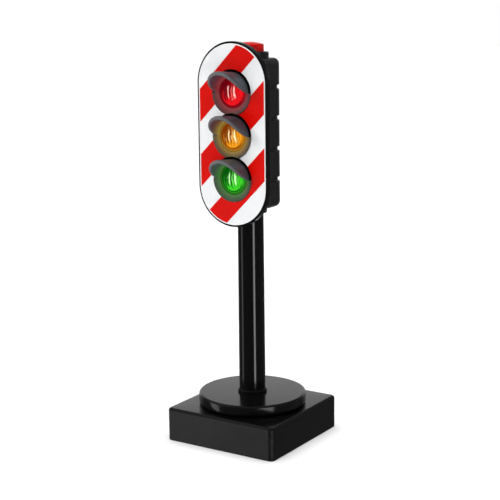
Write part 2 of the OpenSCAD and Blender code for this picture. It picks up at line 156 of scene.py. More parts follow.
DOOR_HALF_W = 4.6
DOOR_FOOT = 83.0
HINGE_Y = 7.3
HINGE_Z = 101.3
KNUCKLE_HALF = 3.0
KNUCKLE_R = 0.8
PIN_HALF = 3.9
PIN_R = 0.35
DOOR_GAP = 0.15
DOOR_SCREW_Z = 85.0
BEHIND = 12  # a y well behind the housing, where cuts end

SEGMENTS = 160


# ---- Mesh tools ----


def rounded(corners, closed=True, steps=6):
    """An outline through (x, y, radius) corners, each rounded by its own radius."""
    out = []
    count = len(corners)
    for i, (x, y, radius) in enumerate(corners):
        here = Vector((x, y))
        if radius <= 0 or (not closed and i in (0, count - 1)):
            out.append((x, y))
            continue
        before = (Vector(corners[i - 1][:2]) - here).normalized()
        after = (Vector(corners[(i + 1) % count][:2]) - here).normalized()
        half_angle = before.angle(after) / 2
        centre = here + (before + after).normalized() * (radius / math.sin(half_angle))
        start = here + before * (radius / math.tan(half_angle)) - centre
        end = here + after * (radius / math.tan(half_angle)) - centre
        turn = math.atan2(start.x * end.y - start.y * end.x, start.dot(end))
        for k in range(steps + 1):
            spoke = Matrix.Rotation(turn * k / steps, 2) @ start
            out.append((centre.x + spoke.x, centre.y + spoke.y))
    return out


def new_piece(name, bm, sharp=40):
    """A smooth-shaded object, in metres, from a bmesh in millimetres."""
    bmesh.ops.remove_doubles(bm, verts=bm.verts, dist=1e-5)
    bmesh.ops.dissolve_degenerate(bm, edges=bm.edges, dist=1e-6)
    bmesh.ops.recalc_face_normals(bm, faces=bm.faces)
    bmesh.ops.scale(bm, vec=(MM, MM, MM), verts=bm.verts)
    mesh = bpy.data.meshes.new(name)
    bm.to_mesh(mesh)
    bm.free()
    piece = bpy.data.objects.new(name, mesh)
    bpy.context.scene.collection.objects.link(piece)
    smooth(piece, sharp)
    return piece


def smooth(piece, sharp=40):
    piece.data.shade_smooth()
    piece.data.set_sharp_from_angle(angle=math.radians(sharp))


def drop_empty_faces(bm):
    """Removes the faces without area that a turned shape has on its axis."""
    for face in [f for f in bm.faces if f.calc_area() < 1e-9]:
        bm.faces.remove(face)


def add_grid(bm, rings, close_rings=True, close_across=True, caps=False):
    """Joins rings of equal length with quads, round each ring and from ring to ring."""
    rows = [[bm.verts.new(p) for p in ring] for ring in rings]
    count = len(rows[0])
    for a in range(len(rows) if close_across else len(rows) - 1):
        low, high = rows[a], rows[(a + 1) % len(rows)]
        for i in range(count if close_rings else count - 1):
            j = (i + 1) % count
            bm.faces.new((low[i], low[j], high[j], high[i]))
    if caps:
        bm.faces.new(rows[0])
        bm.faces.new(rows[-1])


def lathe_rings(profile, axis="Z", centre=(0, 0), segments=SEGMENTS, arc=(0, 360)):
    """Rings of (radius, height) points turned about an axis along X, Y or Z. centre is the axis's
    place in the other two directions, in X, Y, Z order."""
    turns = segments if arc == (0, 360) else segments + 1
    rings = []
    for i in range(turns):
        a = math.radians(arc[0] + (arc[1] - arc[0]) * i / segments)
        c, s = math.cos(a), math.sin(a)
        ring = []
        for r, h in profile:
            u, v = centre[0] + r * c, centre[1] + r * s
            ring.append({"X": (h, u, v), "Y": (u, h, v), "Z": (u, v, h)}[axis])
        rings.append(ring)
    return rings


def lathe(name, profile, axis="Z", centre=(0, 0), segments=SEGMENTS):
    """A closed turned solid. The profile is a closed loop, or begins and ends on the axis."""
    bm = bmesh.new()
    add_grid(bm, lathe_rings(profile, axis, centre, segments))
    drop_empty_faces(bm)
    return new_piece(name, bm)


def block(name, low, high):
    """A plain box, used only to cut or to join."""
    bm = bmesh.new()
    bmesh.ops.create_cube(bm, size=1)
    for v in bm.verts:
        v.co = Vector([(a + b) / 2 + c * (b - a) for a, b, c in zip(low, high, v.co)])
    return new_piece(name, bm)


def rod(name, axis, start, end, radius, centre, segments=64, edge=0.0):
    """A round bar along X, Y or Z, its ends rounded by edge."""
    low, high = sorted((start, end))
    outline = rounded([(0, low, 0), (radius, low, edge), (radius, high, edge), (0, high, 0)])
    return lathe(name, outline, axis, centre, segments)


def combine(piece, others, operation, sharp=40):
    """Cuts, joins or intersects a piece with others, which are used up."""
    for other in others:
        step = piece.modifiers.new("combine", "BOOLEAN")
        step.operation = operation
        step.solver = "EXACT"
        step.object = other
        bake_modifiers(piece)
        bpy.data.objects.remove(other)
    smooth(piece, sharp)
    return piece


def bake_modifiers(piece):
    """Replaces the mesh by what its modifiers make of it."""
    graph = bpy.context.evaluated_depsgraph_get()
    mesh = bpy.data.meshes.new_from_object(piece.evaluated_get(graph))
    piece.modifiers.clear()
    piece.data = mesh


def soften(piece, width, angle=35, segments=2):
    """Rounds the piece's sharp edges and evens out the shading of its flats."""
    bevel = piece.modifiers.new("soften", "BEVEL")
    bevel.width = width * MM
    bevel.segments = segments
    bevel.limit_method = "ANGLE"
    bevel.angle_limit = math.radians(angle)
    bevel.use_clamp_overlap = True
    bake_modifiers(piece)
    smooth(piece, 60)
    even_shading(piece)


def even_shading(piece):
    weighted = piece.modifiers.new("even shading", "WEIGHTED_NORMAL")
    weighted.keep_sharp = True
    weighted.weight = 100


def finish_piece(piece, body, material, slot, *replaced):
    """Gives a piece its material and its body, and hides the CAD nodes that it stands for. slot is not used.
    """
    piece.data.materials.clear()
    piece.data.materials.append(material)
    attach(piece, body)
    if replaced:
        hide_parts(*replaced)
    return piece


# ---- Materials ----


class Shader:
    """A small helper round the node tree of a material or of the world. Keywords name sockets,
    with underscores for spaces."""

    def __init__(self, owner, shader, coordinates):
        owner.use_nodes = True
        self.owner = owner
        self.nodes, self.links = owner.node_tree.nodes, owner.node_tree.links
        self.shader = self.nodes[shader]
        self.place = self.new("TexCoord").outputs[coordinates]

    def put(self, value, socket):
        """Gives a socket a number, an RGB colour, a vector or another node's output."""
        if isinstance(value, tuple):
            socket.default_value = (*value, 1.0) if socket.type == "RGBA" else value
        elif isinstance(value, (int, float)):
            socket.default_value = value
        elif value is not None:
            self.links.new(value, socket)

    def fill(self, node, **values):
        for key, value in values.items():
            self.put(value, node.inputs[key.replace("_", " ")])

    def set(self, **values):
        self.fill(self.shader, **values)

    def new(self, kind, **values):
        node = self.nodes.new("ShaderNode" + kind)
        self.fill(node, **values)
        return node

    def noise(self, scale, detail=2.0, roughness=0.5, distortion=0.0, place=None):
        return self.new("TexNoise", Vector=place or self.place, Scale=scale, Detail=detail,
                        Roughness=roughness, Distortion=distortion).outputs["Fac"]

    def stretched(self, x, y, z):
        """Object coordinates scaled by axis, for streaks and brushed marks."""
        return self.new("Mapping", Vector=self.place, Scale=(x, y, z)).outputs["Vector"]

    def ramp(self, value, low, high, out_low=0.0, out_high=1.0, kind="LINEAR"):
        """Maps low..high of a value onto out_low..out_high, clamped."""
        node = self.new("MapRange", Value=value, From_Min=low, From_Max=high, To_Min=out_low,
                        To_Max=out_high)
        node.interpolation_type = kind
        return node.outputs["Result"]

    def math(self, operation, a, b=None):
        node = self.new("Math")
        node.operation = operation
        self.put(a, node.inputs[0])
        self.put(b, node.inputs[1])
        return node.outputs[0]

    def plus(self, a, b):
        return self.math("ADD", a, b)

    def minus(self, a, b):
        return self.math("SUBTRACT", a, b)

    def times(self, a, b):
        return self.math("MULTIPLY", a, b)

    def blend(self, factor, a, b, mode="MIX"):
        """Mixes two colours, each an RGB tuple or a socket."""
        node = self.new("Mix")
        node.data_type = "RGBA"
        node.blend_type = mode
        for socket, value in zip((node.inputs["Factor"], *node.inputs[6:8]), (factor, a, b)):
            self.put(value, socket)
        return node.outputs[2]

    def bump(self, height, strength, distance, under=None):
        """A bumped normal. distance is in millimetres, and under is a normal to start from."""
        return self.new("Bump", Strength=strength, Distance=distance * MM, Height=height,
                        Normal=under).outputs["Normal"]

    def parts(self, vector):
        """The three values of a vector."""
        return list(self.new("SeparateXYZ", Vector=vector).outputs)

    def split(self):
        """Object coordinates in millimetres, as three values."""
        return [self.times(out, 1 / MM) for out in self.parts(self.place)]

    def normal(self):
        """The surface's direction in object coordinates, as three values."""
        return self.parts(self.new("TexCoord").outputs["Normal"])


def new_material(name):
    return Shader(bpy.data.materials.new(name), "Principled BSDF", "Object")


def moulded_plastic(name, colour, roughness, grain, ripple, ior=1.5, drawn=0.0):
    """Injection-moulded plastic: slight colour drift, uneven gloss, mould grain and faint ripple."""
    s = new_material(name)
    drift = s.noise(180, 3)
    dark = tuple(c * 0.82 for c in colour)
    light = tuple(min(1, c * 1.12 + 0.0008) for c in colour)
    s.set(Base_Color=s.blend(drift, dark, light))
    smudge = s.noise(95, 4, 0.6, 0.4)
    fine = s.noise(5200, 2)
    gloss = s.plus(s.ramp(smudge, 0.3, 0.7, roughness * 0.85, roughness * 1.2),
                   s.ramp(fine, 0.3, 0.7, -0.02, 0.02))
    s.set(Roughness=gloss)
    wave = s.bump(s.noise(330, 1), ripple, 0.05)
    s.set(Normal=s.bump(fine, grain, 0.01, wave))
    s.set(IOR=ior, Anisotropic=drawn, Anisotropic_Rotation=0.25)
    if drawn:
        around = s.new("Tangent")
        around.direction_type = "RADIAL"
        around.axis = "Z"
        s.set(Tangent=around.outputs["Tangent"])
    return s.owner


def block_plastic(name):
    """The base block: polished on top and satin on its sides, with its sides painted lighter than its top and
    a painted highlight down its upright corners.
    """
    s = new_material(name)
    x, y, _ = s.split()
    level = s.parts(s.new("NewGeometry").outputs["Normal"])[2]
    upright = s.ramp(s.math("ABSOLUTE", level), 0.05, 0.4, 1.0, 0.0)
    drift = s.noise(160, 3)
    # Painted light: the sides are coloured lighter than the dark top, for the light that they catch.
    side = s.blend(s.ramp(drift, 0.3, 0.7), (0.0035, 0.0035, 0.0036), (0.0055, 0.0055, 0.0057))
    # Painted highlight: a lighter, flecked band down each upright corner.
    nearer = s.math("MINIMUM", s.math("ABSOLUTE", x), s.math("ABSOLUTE", y))
    corner = s.ramp(nearer, BLOCK_HALF - 0.95, BLOCK_HALF - 0.45, 0.0, 1.0)
    painted_corner_highlight = s.times(corner, s.ramp(s.noise(600, 4, 0.7), 0.38, 0.62, 0.25, 1.0))
    side = s.blend(painted_corner_highlight, side, (0.05, 0.05, 0.05))
    s.set(Base_Color=s.blend(upright, (0.003, 0.003, 0.0032), side))
    smudge = s.noise(95, 4, 0.6, 0.4)
    top_gloss = s.ramp(smudge, 0.3, 0.7, 0.13, 0.2)
    s.set(Roughness=s.plus(top_gloss, s.times(upright, 0.14)))
    fine = s.noise(5200, 2)
    wave = s.bump(s.noise(330, 1), 0.1, 0.05)
    s.set(Normal=s.bump(fine, 0.1, 0.01, wave))
    s.set(IOR=1.5)
    return s.owner


def film(name, colour, edge_colour, roughness):
    """Coated sticker film: printed colour with fine tone specks under a smooth lacquer."""
    s = new_material(name)
    tone = s.noise(240, 3, 0.6)
    specks = s.noise(2600, 2)
    printed = s.blend(s.ramp(tone, 0.35, 0.65), colour, edge_colour)
    s.set(Base_Color=s.blend(s.ramp(specks, 0.45, 0.75, 0.0, 0.05), printed, edge_colour))
    s.set(Roughness=s.ramp(tone, 0.3, 0.7, roughness * 0.9, roughness * 1.15))
    s.set(Normal=s.bump(s.noise(420, 2), 0.15, 0.02))
    s.set(IOR=1.25)
    return s.owner


def metal(name, colour, roughness, along=(1, 1, 30)):
    """Plated metal with fine drawn or turned marks."""
    s = new_material(name)
    marks = s.noise(900, 3, 0.6, 0.0, s.stretched(*along))
    s.set(Base_Color=s.blend(marks, tuple(c * 0.75 for c in colour), colour))
    s.set(Roughness=s.ramp(marks, 0.3, 0.7, roughness * 0.8, roughness * 1.3))
    s.set(Normal=s.bump(marks, 0.25, 0.01))
    s.set(Metallic=1.0)
    return s.owner


def distance_from(s, x, z, light_z):
    """Distance from a light's axis, in millimetres, on the front of the head."""
    dz = s.minus(z, light_z)
    return s.math("SQRT", s.plus(s.times(x, x), s.times(dz, dz)))


def nearest_radius(s, x, z):
    """Distance from the nearest light's axis, in millimetres."""
    radius = None
    for light_z in LIGHT_Z.values():
        here = distance_from(s, x, z, light_z)
        radius = here if radius is None else s.math("MINIMUM", radius, here)
    return radius


LAMP_POWER = 0.9
WAVER = 0.22
# Place across the lens, half width and amount of each bright streak and each dark line.
STREAKS = ((-0.95, 0.22, 1.0), (0.15, 0.12, 0.35), (1.1, 0.25, 1.0))
VALLEYS = ((-2.55, 0.3, 0.75), (-1.6, 0.28, 0.9), (-0.42, 0.24, 0.9), (0.6, 0.18, 0.5), (1.75, 0.2, 0.5),
           (2.6, 0.2, 0.3))


def lit_lens(name, light_z, deep, glow, hot, rim, glints, core):
    """Tinted lens over a lit lamp, with upright flutes that draw the lamp out into bright streaks.
    Its colour goes from deep to glow to hot, dims from the radius core outwards, and ends in rim."""
    s = new_material(name)
    x, _, z = s.split()
    dz = s.minus(z, light_z)
    radius = distance_from(s, x, z, light_z)
    # Place across the flutes, which waver and lean a little.
    waver = s.ramp(s.noise(520, 1), 0.3, 0.7, -WAVER, WAVER)
    across = s.minus(s.plus(x, waver), s.times(dz, -0.08))
    height = s.ramp(s.math("ABSOLUTE", s.minus(dz, 0.15)), 1.1, 2.1, 1.0, 0.0)

    def line(place, width, amount):
        off = s.math("DIVIDE", s.minus(across, place), width)
        bell = s.math("POWER", 2.718, s.times(s.times(off, off), -1.0))
        return s.times(bell, amount)

    def lines(parts):
        total = None
        for part in parts:
            total = line(*part) if total is None else s.plus(total, line(*part))
        return total

    streak = s.math("MINIMUM", s.times(lines(STREAKS), height), 1.0)
    long = s.ramp(s.math("ABSOLUTE", dz), 1.8, 3.4, 1.0, 0.0)
    valley = s.times(lines(VALLEYS), long)
    # The tinted body: brighter low on the right, as painted shade of the visor darkens it up and to the left;
    # mottled, finely ringed, dim outside the core.
    low_right = s.plus(s.times(x, 0.7), s.times(dz, -0.7))
    side = s.ramp(low_right, -3.4, 1.0, 0.0, 1.0)
    bands = s.ramp(s.math("COSINE", s.times(radius, 2 * math.pi / 0.62)), -1, 1, 0.88, 1.0)
    mottle = s.ramp(s.noise(1100, 3), 0.3, 0.7, 0.85, 1.1)
    body = s.times(s.times(side, mottle), bands)
    body = s.times(body, s.ramp(radius, core, core + 1.15, 1.0, 0.25))
    # Two dark rings: a faint one near the rim, and one round the core, strongest low on the left.
    edge = s.ramp(s.math("ABSOLUTE", s.minus(radius, 4.62)), 0.08, 0.28, 1.0, 0.0)
    inner = s.ramp(s.math("ABSOLUTE", s.minus(radius, core + 0.6)), 0.05, 0.3, 1.0, 0.0)
    body = s.minus(body, s.times(edge, 0.25))
    low_left = s.ramp(s.plus(x, dz), -1.0, 3.0, 0.6, 0.1)
    body = s.minus(body, s.times(inner, low_left))
    body = s.math("MAXIMUM", s.minus(body, valley), 0.0)
    tint = s.blend(s.ramp(body, 0.0, 1.0), deep, glow)
    # Small glints about the middle.
    glint = s.ramp(s.noise(1300, 2, 0.6, 0.8, s.stretched(1, 1, 0.45)), 0.56, 0.72, 0.0, glints)
    streak = s.math("MAXIMUM", streak, s.times(glint, s.ramp(radius, 1.8, 3.4, 1.0, 0.0)))
    tint = s.blend(streak, tint, hot)
    tint = s.blend(s.ramp(radius, core + 1.0, core + 1.2), tint, rim)
    power = s.plus(s.times(streak, LAMP_POWER * 0.5), LAMP_POWER)
    s.set(Base_Color=s.blend(0.6, tint, (0.0, 0.0, 0.0)), Emission_Color=tint, Emission_Strength=power)
    s.set(Normal=s.bump(lines(STREAKS), 0.3, 0.1))
    s.set(IOR=1.3, Roughness=0.15)
    return s.owner


GLOW = {"red": (0.26, 0.006, 0.009), "amber": (0.30, 0.18, 0.004), "green": (0.03, 0.17, 0.006)}
GLOW_REACH = 3.0


def lamp_glow(s, depth, inside_only):
    """Adds the light that each lens throws on the parts round it."""
    x, y, z = s.split()
    total = None
    for name, colour in GLOW.items():
        radius = distance_from(s, x, z, LIGHT_Z[name])
        if inside_only:
            forward = s.ramp(y, SHEET_FRONT - 5.5, SHEET_FRONT + 0.6, 0.0, 1.0)
            facing_x, _, facing_z = s.normal()
            dz = s.minus(z, LIGHT_Z[name])
            inward = s.plus(s.times(facing_x, x), s.times(facing_z, dz))
            near = s.ramp(s.math("DIVIDE", inward, radius), -0.5, -0.15, 1.0, 0.0)
            near = s.times(near, s.times(forward, s.ramp(radius, 6.0, 6.4, 1.0, 0.0)))
        else:
            near = s.ramp(radius, LENS_R - 0.1, LENS_R + GLOW_REACH, 1.0, 0.0)
        part = s.blend(s.times(near, near), (0.0, 0.0, 0.0), colour)
        total = part if total is None else s.blend(1.0, total, part, "ADD")
    s.set(Emission_Color=total, Emission_Strength=s.ramp(depth, 0.0, 0.5, 1.0, 0.0))


def visor_plastic(name, dark, light, shade_from, inside_only):
    """Dark grey satin moulding of clouded tone, with soft reddish patches painted as reflections of the red
    stripes. It falls to black down in the grooves, a painted shade, from the depth shade_from onwards.
    inside_only keeps the lamps' glow off the visors' outsides and paints a highlight on the visors' lips."""
    s = new_material(name)
    cloud = s.noise(210, 3, 0.6)
    x, y, z = s.split()
    # Painted shade: deep in the grooves the colour falls to near black.
    depth = s.ramp(y, shade_from, shade_from + 0.18, 0.0, 1.0)
    if inside_only:
        depth = s.times(depth, s.ramp(nearest_radius(s, x, z), VISOR_R - 0.3, VISOR_R - 0.1))
    colour = s.blend(s.ramp(cloud, 0.3, 0.7), dark, light)
    # Painted reflection: soft reddish patches stand for the red stripes mirrored in the grey.
    colour = s.blend(s.ramp(s.noise(150, 1), 0.5, 0.68, 0.0, 0.7), colour, (0.115, 0.036, 0.06))
    if inside_only:
        # Painted highlight: the front-facing lip is coloured a lighter grey.
        painted_lip_highlight = s.ramp(s.normal()[1], -0.9, -0.45, 0.7, 0.0)
        colour = s.blend(painted_lip_highlight, colour, (0.17, 0.175, 0.17))
    s.set(Base_Color=s.blend(depth, colour, (0.001, 0.001, 0.001)))
    grain = s.noise(4200, 3, 0.6)
    gloss = s.ramp(cloud, 0.3, 0.7, 0.36, 0.48)
    s.set(Roughness=s.plus(gloss, s.times(depth, 0.4)))
    s.set(Normal=s.bump(grain, 0.3, 0.02))
    s.set(IOR=1.35)
    lamp_glow(s, depth, inside_only)
    return s.owner


def solder_mask(name):
    """Green circuit board with etched tracks showing through the mask."""
    s = new_material(name)
    brick = s.new("TexBrick", Vector=s.place, Scale=300, Mortar_Size=0.02)
    s.set(Base_Color=s.blend(brick.outputs["Fac"], (0.01, 0.09, 0.03), (0.02, 0.16, 0.05)))
    s.set(Roughness=s.ramp(s.noise(700, 3), 0.3, 0.7, 0.25, 0.4))
    s.set(Normal=s.bump(brick.outputs["Fac"], 0.4, 0.03))
    return s.owner


def foam(name):
    """Closed-cell foam pad."""
    s = new_material(name)
    cells = s.new("TexVoronoi", Vector=s.place, Scale=2600)
    s.set(Base_Color=s.blend(cells.outputs["Distance"], (0.02, 0.02, 0.02), (0.05, 0.05, 0.05)))
    s.set(Normal=s.bump(cells.outputs["Distance"], 0.7, 0.08))
    s.set(Roughness=0.9)
    return s.owner


def lamp_epoxy(name, colour, strength):
    """Clear tinted epoxy of a lamp that is on."""
    s = new_material(name)
    haze = s.noise(1500, 2)
    s.set(Base_Color=s.blend(haze, tuple(c * 0.8 for c in colour), colour))
    s.set(Emission_Color=s.blend(haze, colour, tuple(min(1.0, c + 0.3) for c in colour)))
    s.set(Roughness=s.ramp(haze, 0.3, 0.7, 0.08, 0.16))
    s.set(Emission_Strength=strength)
    return s.owner


gloss_black = moulded_plastic("gloss_black", (0.0025, 0.0025, 0.0026), 0.15, 0.05, 0.10, 1.5)
block_black = block_plastic("block_black")
mast_black = moulded_plastic("mast_black", (0.002, 0.002, 0.0022), 0.16, 0.03, 0.03, 1.47, 0.7)
satin_black = moulded_plastic("satin_black", (0.0135, 0.0135, 0.014), 0.34, 0.12, 0.12, 1.5)
red_gloss = moulded_plastic("red_button", (0.88, 0.003, 0.001), 0.3, 0.06, 0.15, 1.25)
nylon = moulded_plastic("nylon", (0.72, 0.71, 0.66), 0.45, 0.15, 0.1)
epoxy_black = moulded_plastic("epoxy_black", (0.012, 0.012, 0.013), 0.3, 0.1, 0.1)
white_film = film("white_film", (0.86, 0.87, 0.88), (0.82, 0.83, 0.84), 0.3)
red_film = film("red_film", (0.69, 0.0025, 0.0003), (0.63, 0.0025, 0.0005), 0.3)
visor_grey = visor_plastic("visor_grey", (0.062, 0.074, 0.088), (0.084, 0.098, 0.116),
                           SHEET_FRONT - 0.2, True)
# Painted shade: the bezel takes a darker grey than the visors, for the shade that the visors cast on it.
bezel_grey = visor_plastic("bezel_grey", (0.052, 0.051, 0.053), (0.070, 0.069, 0.071),
                           BEZEL_FRONT + 0.92, False)
LENS_LOOKS = {
    "red": ((0.13, 0.0, 0.004), (0.84, 0.005, 0.010), (1.0, 0.50, 0.46), (0.15, 0.022, 0.028), 0.25, 3.55),
    "amber": ((0.20, 0.035, 0.0005), (0.86, 0.33, 0.008), (1.0, 0.86, 0.45), (0.26, 0.135, 0.015), 0.45, 3.2),
    "green": ((0.0, 0.085, 0.002), (0.045, 0.62, 0.02), (0.55, 1.0, 0.45), (0.02, 0.12, 0.01), 0.35, 3.2),
}
lens_shaders = {light: lit_lens(light + "_lens", LIGHT_Z[light], *look) for light, look in LENS_LOOKS.items()}
LAMPS = {"red": (1.0, 0.12, 0.1), "amber": (1.0, 0.5, 0.12), "green": (0.2, 1.0, 0.2)}
zinc_steel = metal("zinc_steel", (0.62, 0.62, 0.64), 0.3)
spring_wire = metal("spring_wire", (0.66, 0.66, 0.67), 0.25)
cell_steel = metal("cell_steel", (0.72, 0.72, 0.73), 0.2, (1, 1, 20))
contact_metal = metal("contact_metal", (0.78, 0.68, 0.42), 0.28, (20, 1, 1))


# ---- CAD nodes that keep their shape ----

KEPT = {
    "base_cover": satin_black, "foot_pad": foam("foam_pad"), "ballast_weight": zinc_steel,
    "base_cover_screws": zinc_steel, "thrust_washer": nylon, "pivot_screw": zinc_steel,
    "retaining_washer": zinc_steel, "housing_screws": zinc_steel, "white_sheet": white_film,
    "red_stripes": red_film, "circuit_board": solder_mask("solder_mask"), "control_chip": epoxy_black,
    "resistors": epoxy_black, "push_switch": satin_black, "switch_plunger": nylon,
    "battery_holder": satin_black, "battery_cells": cell_steel,
    "upper_contact": contact_metal, "lower_contact": contact_metal, "door_screw": zinc_steel,
}
for lamp, lamp_colour in LAMPS.items():
    KEPT[lamp + "_led"] = lamp_epoxy(lamp + "_led", lamp_colour, 1.5)
for node_name, kept_material in KEPT.items():
    for material_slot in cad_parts[node_name].material_slots:
        material_slot.material = kept_material


# ---- Base and mast ----


def square_ring(half, corner_r, z, steps=8, side_steps=6):
    """A rounded square at height z, its sides cut evenly so that it joins to a circle."""
    ring = []
    for quarter in range(4):
        a0 = math.radians(90 * quarter)
        reach = half - corner_r
        centre = Matrix.Rotation(a0, 2) @ Vector((reach, reach))
        for k in range(steps + 1):
            a = a0 + math.radians(90) * k / steps
            ring.append((centre.x + corner_r * math.cos(a), centre.y + corner_r * math.sin(a), z))
        start = ring[-1]
        a1 = a0 + math.radians(90)
        turned = Matrix.Rotation(a1, 2) @ Vector((reach, reach))
        end = (turned.x + corner_r * math.cos(a1), turned.y + corner_r * math.sin(a1))
        for k in range(1, side_steps):
            f = k / side_steps
            ring.append((start[0] + (end[0] - start[0]) * f, start[1] + (end[1] - start[1]) * f, z))
    return ring


def circle_like(ring, radius, z):
    """A circle whose points stand in the same directions as a ring's points."""
    out = []
    for x, y, _ in ring:
        reach = math.hypot(x, y)
        out.append((x / reach * radius, y / reach * radius, z))
    return out


def make_base_block():
    """The hollow base block, open below, with the hub's bearing in its ceiling."""
    bearing_r, bearing_foot = 6.4, HUB_FOOT + 0.1
    bore_r = HUB_R + RUNNING
    section = rounded([(6, BLOCK_TOP, 0), (0, BLOCK_TOP, BLOCK_EDGE_R), (0, 0, 0.15), (BLOCK_WALL, 0, 0.15),
                       (BLOCK_WALL, BLOCK_CEILING, 0.3), (6, BLOCK_CEILING, 0)], closed=False)
    outer = [square_ring(BLOCK_HALF - inset, max(BLOCK_CORNER_R - inset, 0.3), z) for inset, z in section]
    bearing = rounded([(bearing_r, BLOCK_CEILING, 0.3), (bearing_r, bearing_foot, 0.1),
                       (bore_r, bearing_foot, 0.1), (bore_r, BLOCK_TOP, 0.1)], closed=False, steps=3)
    rings = outer + [circle_like(outer[0], r, z) for r, z in bearing]
    bm = bmesh.new()
    add_grid(bm, rings)
    piece = new_piece("base_block", bm)
    bosses, holes = [], []
    for sx in (-1, 1):
        for sy in (-1, 1):
            place = (sx * COVER_SCREW_XY, sy * COVER_SCREW_XY)
            bosses.append(rod("boss", "Z", BOSS_FOOT, BLOCK_CEILING + 0.5, 2.6, place, 48))
            holes.append(rod("hole", "Z", BOSS_FOOT - 1, 7.6, 0.8, place, 32))
    combine(piece, bosses, "UNION")
    combine(piece, holes, "DIFFERENCE")
    even_shading(piece)
    finish_piece(piece, "base", block_black, "gloss_black", "base_shell")


def make_turntable():
    socket_r, socket_floor = TENON_R + SLIP, mast_low.z - SLIP
    screw_r = PIVOT_R + 0.1
    profile = rounded([
        (socket_r, DISC_TOP, 0), (DISC_R, DISC_TOP, DISC_EDGE_R), (DISC_R, DISC_UNDER, DISC_EDGE_R),
        (HUB_R, DISC_UNDER, 0.1), (HUB_R, HUB_FOOT, 0.2), (screw_r, HUB_FOOT, 0),
        (screw_r, socket_floor, 0), (socket_r, socket_floor, 0)])
    piece = lathe("turntable", profile, segments=224)
    even_shading(piece)
    finish_piece(piece, "signal", gloss_black, "gloss_black", "turntable_disc")


def make_mast():
    neck = SOCKET_FOOT - 0.5
    profile = rounded([
        (PIVOT_R, mast_low.z, 0), (TENON_R, mast_low.z, 0.2), (TENON_R, DISC_TOP, 0),
        (MAST_FOOT_R, DISC_TOP, 0), (MAST_TOP_R, neck, 0), (MAST_TOP_R, mast_high.z, 0.3),
        (MAST_BORE_R, mast_high.z, 0.1), (MAST_BORE_R, MAST_BORE_FOOT, 0), (PIVOT_R, MAST_BORE_FOOT - 2, 0)])
    piece = lathe("mast_tube", profile)
    finish_piece(piece, "signal", mast_black, "gloss_black", "mast")
    inner = MAST_FOOT_R + SLIP
    ring = lathe("mast_foot_ring", rounded([(inner, DISC_TOP, 0), (COLLAR_R, DISC_TOP, 0),
                                            (COLLAR_R, COLLAR_TOP, 0.38), (inner, COLLAR_TOP, 0.08)]))
    finish_piece(ring, "signal", mast_black, "gloss_black", "mast_collar")


# ---- Housing and battery door ----


def plan_ring(inset, groove, z, steps=14):
    """The housing's plan at height z: flat in front, round at its two rear uprights.
    inset draws the sides and back in. groove draws in all but the front strip."""
    ring = []
    strip = BOARD_BACK + 1.3
    for side in (1, -1):
        points = [(side * (HOUSE_HALF_W - inset), BOARD_BACK), (side * (HOUSE_HALF_W - inset), strip)]
        reach = HOUSE_CORNER_R - inset - groove
        for k in range(steps + 1):
            a = math.radians(90) * k / steps
            points.append((side * (HOUSE_HALF_W - HOUSE_CORNER_R + reach * math.cos(a)),
                           HOUSE_BACK - HOUSE_CORNER_R + reach * math.sin(a)))
        points.insert(2, (points[2][0], strip + 0.25))
        ring.extend((x, y, z) for x, y in (points if side == 1 else reversed(points)))
    return ring


def housing_shell(name):
    """The hollow housing, open in front, with its four round-lipped grooves."""
    cap = HOUSE_EDGE_R * 1.6
    path = [(cap, 0.0, HOUSE_FOOT)]
    edge = rounded([(cap, HOUSE_FOOT, 0), (0, HOUSE_FOOT, HOUSE_EDGE_R), (0, HOUSE_FOOT + 6, 0)],
                   closed=False, steps=9)[1:-1]
    path += [(inset, 0.0, z) for inset, z in edge]
    for n in (-1.5, -0.5, 0.5, 1.5):
        mid = HOUSE_MID + n * GROOVE_PITCH
        floor_half = GROOVE_HALF_H * 0.55
        lip = rounded([(0, mid - 2, 0), (0, mid - GROOVE_HALF_H, GROOVE_LIP_R),
                       (GROOVE_DEPTH, mid - floor_half, GROOVE_LIP_R),
                       (GROOVE_DEPTH, mid + floor_half, GROOVE_LIP_R),
                       (0, mid + GROOVE_HALF_H, GROOVE_LIP_R), (0, mid + 2, 0)], closed=False, steps=3)[1:-1]
        path += [(0.0, depth, z) for depth, z in lip]
    path += [(inset, 0.0, 2 * HOUSE_MID - z) for inset, z in reversed(edge)]
    path.append((cap, 0.0, HOUSE_TOP))
    bm = bmesh.new()
    add_grid(bm, [plan_ring(*step) for step in path], close_across=False, caps=True)
    return combine(new_piece(name, bm), [housing_cavity()], "DIFFERENCE")


def housing_cavity():
    """The housing's inside, run out through its open front."""
    half = HOUSE_HALF_W - HOUSE_WALL
    corner = HOUSE_CORNER_R - HOUSE_WALL
    plan = rounded([(-half, BOARD_BACK - 2, 0), (half, BOARD_BACK - 2, 0), (half, INNER_BACK, corner),
                    (-half, INNER_BACK, corner)], steps=14)
    bm = bmesh.new()
    low, high = HOUSE_FOOT + HOUSE_WALL, HOUSE_TOP - HOUSE_WALL
    add_grid(bm, [[(x, y, z) for x, y in plan] for z in (low, high)], close_across=False, caps=True)
    return new_piece("cavity", bm)


def door_region(gap, clear_r):
    """The part of the rear wall that the door fills, cleared round the hinge at its two sides."""
    half = DOOR_HALF_W + gap
    region = block("region", (-half, 4, DOOR_FOOT - gap), (half, BEHIND, HINGE_Z))
    clears = [rod("clear", "X", side * (KNUCKLE_HALF + RUNNING + gap), side * BEHIND, clear_r,
                  (HINGE_Y, HINGE_Z), 48) for side in (-1, 1)]
    return combine(region, clears, "DIFFERENCE")


